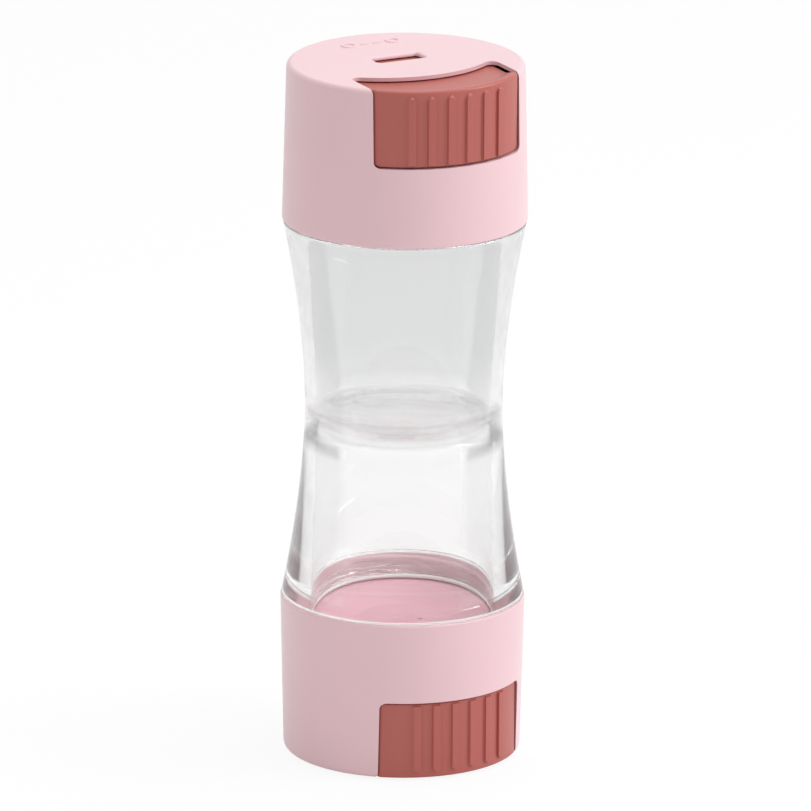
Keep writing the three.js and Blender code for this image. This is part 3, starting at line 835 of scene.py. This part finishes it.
def clear_plastic(name):
    """Polished clear plastic with a trace of haze, that lets the light on what it holds through."""
    material, tree, shader, place = new_material(name)
    shader.inputs["Transmission Weight"].default_value = 1.0
    level = place.node("ShaderNodeSeparateXYZ", "Z", {"Vector": place})
    # the upper cup is drawn greyer than the lower, rising with height: painted shade, not a different plastic
    high = level.node("ShaderNodeMapRange", "Result", {
        "Value": level, "From Min": 0.070, "From Max": 0.095,
    })
    tint_and_painted_shade = colour_mix(high, LOWER_TINT, UPPER_PAINTED_SHADE_GREY)
    tree.links.new(tint_and_painted_shade.socket, shader.inputs["Base Color"])
    from_joint = (level - JOINT_LEVEL).math("ABSOLUTE")
    solid = from_joint.node("ShaderNodeMapRange", "Result", {
        "Value": from_joint, "From Min": 0.0035, "From Max": 0.0065,
        "To Min": JOINT_COVER, "To Max": WALL_COVER,
    })
    shader.inputs["IOR"].default_value = CLEAR_IOR
    haze = noise(place, 60, 3) * 0.02
    tree.links.new(haze.socket, shader.inputs["Roughness"])
    path = tree.nodes.new("ShaderNodeLightPath")
    shadow = Value(tree, path.outputs["Is Shadow Ray"])
    bounced = Value(tree, path.outputs["Is Diffuse Ray"])
    cover = solid * (1.0 - shadow.math("MAXIMUM", bounced) * (1 - CLEAR_SHADE))
    tree.links.new(cover.socket, shader.inputs["Alpha"])
    ripple = noise(place, 110, 1)
    add_bump(shader, ripple, 0.12, 0.00004)
    return material


def soft_silicone(name):
    material, tree, shader, place = new_material(name)
    shader.inputs["Base Color"].default_value = (0.86, 0.84, 0.83, 1)
    shade = noise(place, 900, 3) * 0.15 + 0.45
    tree.links.new(shade.socket, shader.inputs["Roughness"])
    add_bump(shader, shade, 0.3, 0.00003)
    return material


def spring_wire(name):
    """Drawn steel wire, with fine lines and small changes of sheen."""
    material, tree, shader, place = new_material(name)
    shader.inputs["Base Color"].default_value = (0.62, 0.63, 0.65, 1)
    shader.inputs["Metallic"].default_value = 1.0
    lines = noise(place, 2600, 4) * 0.22 + 0.18
    tree.links.new(lines.socket, shader.inputs["Roughness"])
    add_bump(shader, lines, 0.3, 0.00002)
    return material


PINK = (0.785, 0.53, 0.565)
LID_PINK = (0.82, 0.46, 0.525)
ROSE = (0.445, 0.115, 0.095)
TONE_CHANGE = 0.03  # how far moulded plastic's tone drifts each way
CLEAR_IOR = 1.49
CLEAR_SHADE = 0.06  # share of the light that the clear walls hold back
# greyer base colour above the joint: painted shade on the upper cup
UPPER_PAINTED_SHADE_GREY = (0.84, 0.843, 0.845, 1)
LOWER_TINT = (0.975, 0.978, 0.978, 1)
JOINT_LEVEL = 0.0815  # height of the waist joint's middle, in metres
JOINT_COVER = 0.32  # share of the view that the plastic bends, at the joint
WALL_COVER = 0.93

pink = moulded_plastic("pink_plastic", PINK, 0.42, coat=0.75, velvet=0.12)
rose = moulded_plastic("rose_plastic", ROSE, 0.36, specular=0.42)
inner_pink = moulded_plastic("inner_pink_plastic", LID_PINK, 0.30)
clear = clear_plastic("clear_plastic")
silicone = soft_silicone("silicone")
steel = spring_wire("spring_steel")


# The pieces

CUPS = {"upper": upper_cup, "lower": lower_cup}
for side in ("upper", "lower"):
    head = f"{side}_head"
    pieces = (  # form, name, material, body, node, slot
        (CUPS[side](), "clear_cup", clear, f"{side}_cup", "cup", "clear_cup"),
        (cap(side), "cap", pink, head, "cap", "cap_pink"),
        (button(), "press_button", rose, f"{side}_button", "button", "button_rose"),
        (tray(), "tray", inner_pink, head, "slide_tray", "inner_pink"),
        (inner_lid(), "lid", inner_pink, head, "inner_lid", "inner_pink"),
        (seal_ring(), "seal", silicone, f"{side}_seal", "seal_ring", "silicone"),
    )
    for form, name, material, body, node, slot in pieces:
        finish_piece(form, f"{name}_{side}", material, body, [f"{side}_{node}"], side)
    for sign, hand in ((-1, "left"), (1, "right")):
        coil = finish_piece(
            spring(sign), f"spring_{side}_{hand}", steel, head,
            [f"{side}_spring_{hand}"], side,
        )
        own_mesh(coil)


# Camera

CAMERA_TURN = 27.3  # degrees
CAMERA_RISE = 16.14
CAMERA_ROLL = 0.39
CAMERA_DISTANCE = 3.0
CAMERA_LENS = 562.7
MIDDLE_IN_PHOTO = (403.71, 404.86)
PHOTO_SIZE = 811


def add_camera():
    turn, rise = math.radians(CAMERA_TURN), math.radians(CAMERA_RISE)
    back = Vector((-math.sin(turn) * math.cos(rise), -math.cos(turn) * math.cos(rise), math.sin(rise)))
    data = bpy.data.cameras.new("camera")
    data.lens = CAMERA_LENS
    data.sensor_width = 36
    data.shift_x = (PHOTO_SIZE / 2 - MIDDLE_IN_PHOTO[0]) / PHOTO_SIZE
    data.shift_y = (MIDDLE_IN_PHOTO[1] - PHOTO_SIZE / 2) / PHOTO_SIZE
    data.clip_start, data.clip_end = 0.1, 50
    obj = bpy.data.objects.new("camera", data)
    bpy.context.scene.collection.objects.link(obj)
    roll = Matrix.Rotation(math.radians(CAMERA_ROLL), 3, "Z").to_quaternion()
    look = (-back).to_track_quat("-Z", "Y") @ roll
    obj.rotation_mode = "QUATERNION"
    obj.rotation_quaternion = look
    obj.location = Vector((0, 0, END * MM)) + back * CAMERA_DISTANCE
    bpy.context.scene.camera = obj


add_camera()


# Light, floor and world

def add_area(name, location, size, power, target=(0, 0, 0.085)):
    data = bpy.data.lights.new(name, "AREA")
    data.shape = "RECTANGLE"
    data.size, data.size_y = size
    data.energy = power
    obj = bpy.data.objects.new(name, data)
    obj.location = location
    direction = Vector(target) - Vector(location)
    obj.rotation_mode = "QUATERNION"
    obj.rotation_quaternion = direction.to_track_quat("-Z", "Y")
    bpy.context.scene.collection.objects.link(obj)


add_area("key_right", (0.85, -0.55, 0.7), (0.5, 0.5), 5.3)
add_area("top_soft", (0.25, 0.0, 1.1), (0.7, 0.7), 4.1)


def add_world():
    world = bpy.data.worlds.new("studio")
    world.use_nodes = True
    tree = world.node_tree
    tree.nodes.clear()
    path = tree.nodes.new("ShaderNodeLightPath")
    camera_ray = Value(tree, path.outputs["Is Camera Ray"])
    glossy = Value(tree, path.outputs["Is Glossy Ray"])
    through = Value(tree, path.outputs["Is Transmission Ray"])
    lit = tree.nodes.new("ShaderNodeBackground")
    lit.inputs["Color"].default_value = (1, 0.985, 0.985, 1)
    lit.inputs["Strength"].default_value = 0.65
    seen = tree.nodes.new("ShaderNodeBackground")
    seen.inputs["Color"].default_value = (1, 1, 1, 1)
    seen.inputs["Strength"].default_value = 1.0
    soft = tree.nodes.new("ShaderNodeBackground")
    soft.inputs["Color"].default_value = (1, 1, 1, 1)
    soft.inputs["Strength"].default_value = 0.95
    first = tree.nodes.new("ShaderNodeMixShader")
    second = tree.nodes.new("ShaderNodeMixShader")
    out = tree.nodes.new("ShaderNodeOutputWorld")
    either = glossy.math("MAXIMUM", through)
    tree.links.new(either.socket, first.inputs["Fac"])
    tree.links.new(lit.outputs[0], first.inputs[1])
    tree.links.new(soft.outputs[0], first.inputs[2])
    tree.links.new(camera_ray.socket, second.inputs["Fac"])
    tree.links.new(first.outputs[0], second.inputs[1])
    tree.links.new(seen.outputs[0], second.inputs[2])
    tree.links.new(second.outputs[0], out.inputs["Surface"])
    bpy.context.scene.world = world


add_world()


def add_floor():
    """A pale floor, white where the camera sees it, that still takes the bottle's shadow."""
    bm = bmesh.new()
    bmesh.ops.create_grid(bm, x_segments=1, y_segments=1, size=4)
    mesh = bpy.data.meshes.new("floor")
    bm.to_mesh(mesh)
    bm.free()
    obj = bpy.data.objects.new("floor", mesh)
    obj.location.z = -0.0004
    bpy.context.scene.collection.objects.link(obj)
    material, tree, shader, place = new_material("pale_floor")
    shader.inputs["Base Color"].default_value = (0.93, 0.93, 0.93, 1)
    shader.inputs["Roughness"].default_value = 0.85
    glow = tree.nodes.new("ShaderNodeEmission")
    glow.inputs["Strength"].default_value = 1.0
    path = tree.nodes.new("ShaderNodeLightPath")
    camera_ray = Value(tree, path.outputs["Is Camera Ray"])
    glossy = Value(tree, path.outputs["Is Glossy Ray"])
    through = Value(tree, path.outputs["Is Transmission Ray"])
    share = camera_ray.math("MAXIMUM", through.math("MAXIMUM", glossy * 0.6)) * 0.9
    mix = tree.nodes.new("ShaderNodeMixShader")
    tree.links.new(share.socket, mix.inputs["Fac"])
    tree.links.new(shader.outputs[0], mix.inputs[1])
    tree.links.new(glow.outputs[0], mix.inputs[2])
    tree.links.new(mix.outputs[0], tree.nodes["Material Output"].inputs["Surface"])
    mesh.materials.append(material)


add_floor()

bpy.context.scene.view_settings.view_transform = "Standard"
